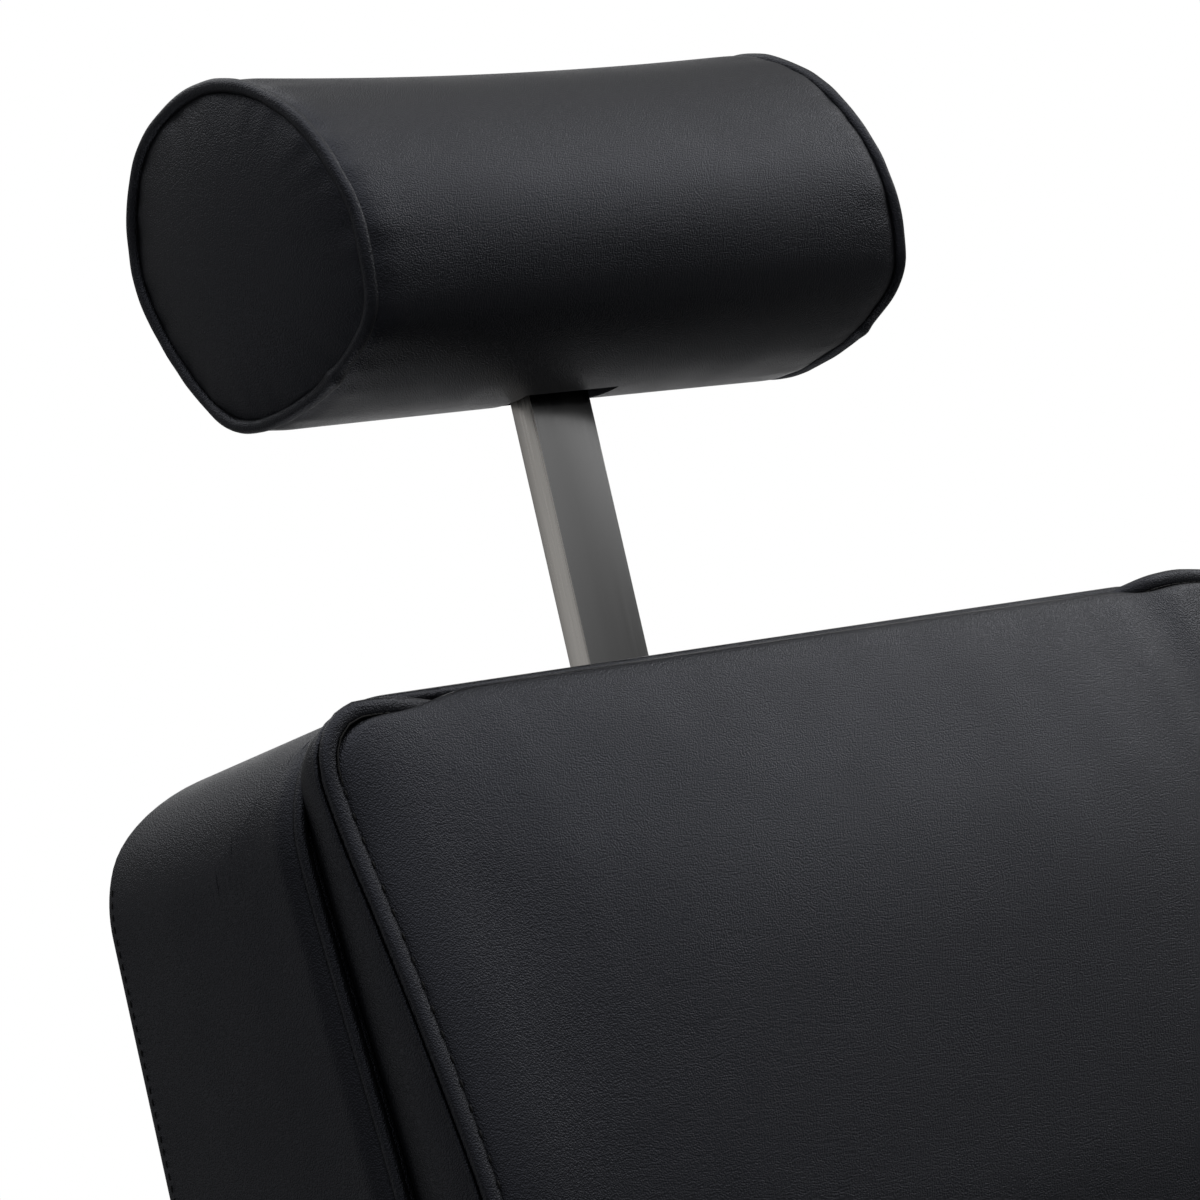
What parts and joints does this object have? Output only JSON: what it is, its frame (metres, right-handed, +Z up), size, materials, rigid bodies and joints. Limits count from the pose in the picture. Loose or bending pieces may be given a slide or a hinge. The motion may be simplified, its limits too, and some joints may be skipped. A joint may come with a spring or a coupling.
{
  "type": "barber chair",
  "caption": "Reclining hydraulic barber chair in black leather, with a bolster headrest on a flat chromed bar, padded arms, a linked footrest and a round pedestal base.",
  "frame": {"origin": "centre of the base mat's underside, on the floor under the column", "axes": "+Z up along the column, -Y the way the sitter faces, +X to the sitter's left"},
  "size_m": [0.675, 1.1608, 1.2543],
  "materials": {
    "leather": "black pebble-grained leatherette, satin",
    "chrome": "polished, with faint brushing on the headrest bar",
    "steel": "turned, bare",
    "black_steel": "black powder coat",
    "rubber": "black, matt",
    "plywood": "raw plywood",
    "plastic": "black, fine texture"
  },
  "bodies": {
    "base": {"base_mat": "rubber", "base_plate": "steel", "base_dome": "chrome", "dome_collar": "chrome", "pump_body": "steel", "pedal_pin": "steel", "pump_cover": "chrome", "column_cap": "chrome"},
    "pedal": {"pump_lever": "chrome", "pedal_pad": "rubber"},
    "plunger": {"pump_plunger": "steel"},
    "lift": {"lift_ram": "chrome", "thrust_washer": "steel"},
    "seat": {"swivel_hub": "black_steel", "seat_plate": "black_steel", "seat_board": "plywood", "seat_cushion": "leather", "seat_rail_left": "black_steel", "seat_rail_right": "black_steel", "recline_bracket_left": "black_steel", "recline_bracket_right": "black_steel", "recline_pin_left": "steel", "recline_pin_right": "steel", "footrest_pin_left": "steel", "footrest_pin_right": "steel", "arm_frame_left": "chrome", "arm_frame_right": "chrome", "arm_pad_left": "leather", "arm_pad_right": "leather", "arm_bolt_front_left": "chrome", "arm_bolt_rear_left": "chrome", "arm_bolt_front_right": "chrome", "arm_bolt_rear_right": "chrome", "gas_bracket": "black_steel", "lever_bolt": "steel"},
    "release": {"recline_lever": "chrome", "lever_knob": "plastic"},
    "back": {"back_upright_left": "black_steel", "back_upright_right": "black_steel", "torsion_tube": "black_steel", "back_board": "plywood", "back_casing": "leather", "back_cushion": "leather", "bar_socket": "chrome"},
    "links": {"link_bar_left": "black_steel", "link_bar_right": "black_steel"},
    "footrest": {"footrest_bar_left": "chrome", "footrest_bar_right": "chrome", "footrest_tube": "chrome", "calf_board": "plywood", "calf_pad": "leather", "foot_plate": "chrome", "foot_mat": "rubber"},
    "gas_cylinder": {"gas_cylinder": "black_steel"},
    "gas_rod": {"gas_rod": "chrome"},
    "headrest_bar": {"headrest_bar": "chrome", "tilt_pin": "steel"},
    "headrest": {"headrest_bracket": "black_steel", "headrest_pad": "leather"}
  },
  "joints": [
    {"name": "lift", "type": "slide", "parent": "base", "child": "lift", "axis": [0, 0, 1], "range_m": [0, 0.15]},
    {"name": "swivel", "type": "hinge", "parent": "lift", "child": "seat", "pos_m": [0, 0, 0.312], "axis": [0, 0, 1], "continuous": true},
    {"name": "recline", "type": "hinge", "parent": "seat", "child": "back", "pos_m": [0, 0.235, 0.4], "axis": [-1, 0, 0], "range_deg": [0, 42]},
    {"name": "footrest_swing", "type": "hinge", "parent": "seat", "child": "footrest", "pos_m": [0, -0.265, 0.347], "axis": [-1, 0, 0], "range_deg": [0, 42]},
    {"name": "link_swing", "type": "hinge", "parent": "back", "child": "links", "pos_m": [0, 0.2565, 0.34398], "axis": [-1, 0, 0], "range_deg": [-42, 0]},
    {"name": "gas_cylinder_swing", "type": "hinge", "parent": "seat", "child": "gas_cylinder", "pos_m": [0.12, -0.1, 0.34], "axis": [1, 0, 0], "range_deg": [0, 2.5]},
    {"name": "gas_rod_slide", "type": "slide", "parent": "gas_cylinder", "child": "gas_rod", "axis": [0, 0.9999, 0.0149], "range_m": [-0.039, 0]},
    {"name": "headrest_height", "type": "slide", "parent": "back", "child": "headrest_bar", "axis": [0, 0.3256, 0.9455], "range_m": [-0.1, 0.05]},
    {"name": "headrest_tilt", "type": "hinge", "parent": "headrest_bar", "child": "headrest", "pos_m": [0, 0.55287, 1.14193], "axis": [1, 0, 0], "range_deg": [-20, 20]},
    {"name": "pump_pedal", "type": "hinge", "parent": "base", "child": "pedal", "pos_m": [0.051, 0, 0.125], "axis": [0, 1, 0], "range_deg": [0, 10], "stiffness_Nm_per_rad": 40, "springref_deg": -8.59},
    {"name": "pump_plunger", "type": "slide", "parent": "base", "child": "plunger", "axis": [0, 0, 1], "range_m": [-0.003, 0]},
    {"name": "recline_release", "type": "hinge", "parent": "seat", "child": "release", "pos_m": [-0.2583, -0.02, 0.347], "axis": [-1, 0, 0], "range_deg": [0, 20], "stiffness_Nm_per_rad": 3, "springref_deg": -11.46}
  ],
  "couplings": [
    {"joint": "footrest_swing", "follows": "recline", "ratio": 1},
    {"joint": "link_swing", "follows": "recline", "ratio": -1},
    {"joint": "gas_cylinder_swing", "follows": "recline", "ratio": 0.05606},
    {"joint": "gas_rod_slide", "follows": "recline", "m_per_rad": -0.0508},
    {"joint": "pump_plunger", "follows": "pump_pedal", "m_per_rad": -0.0125}
  ]
}
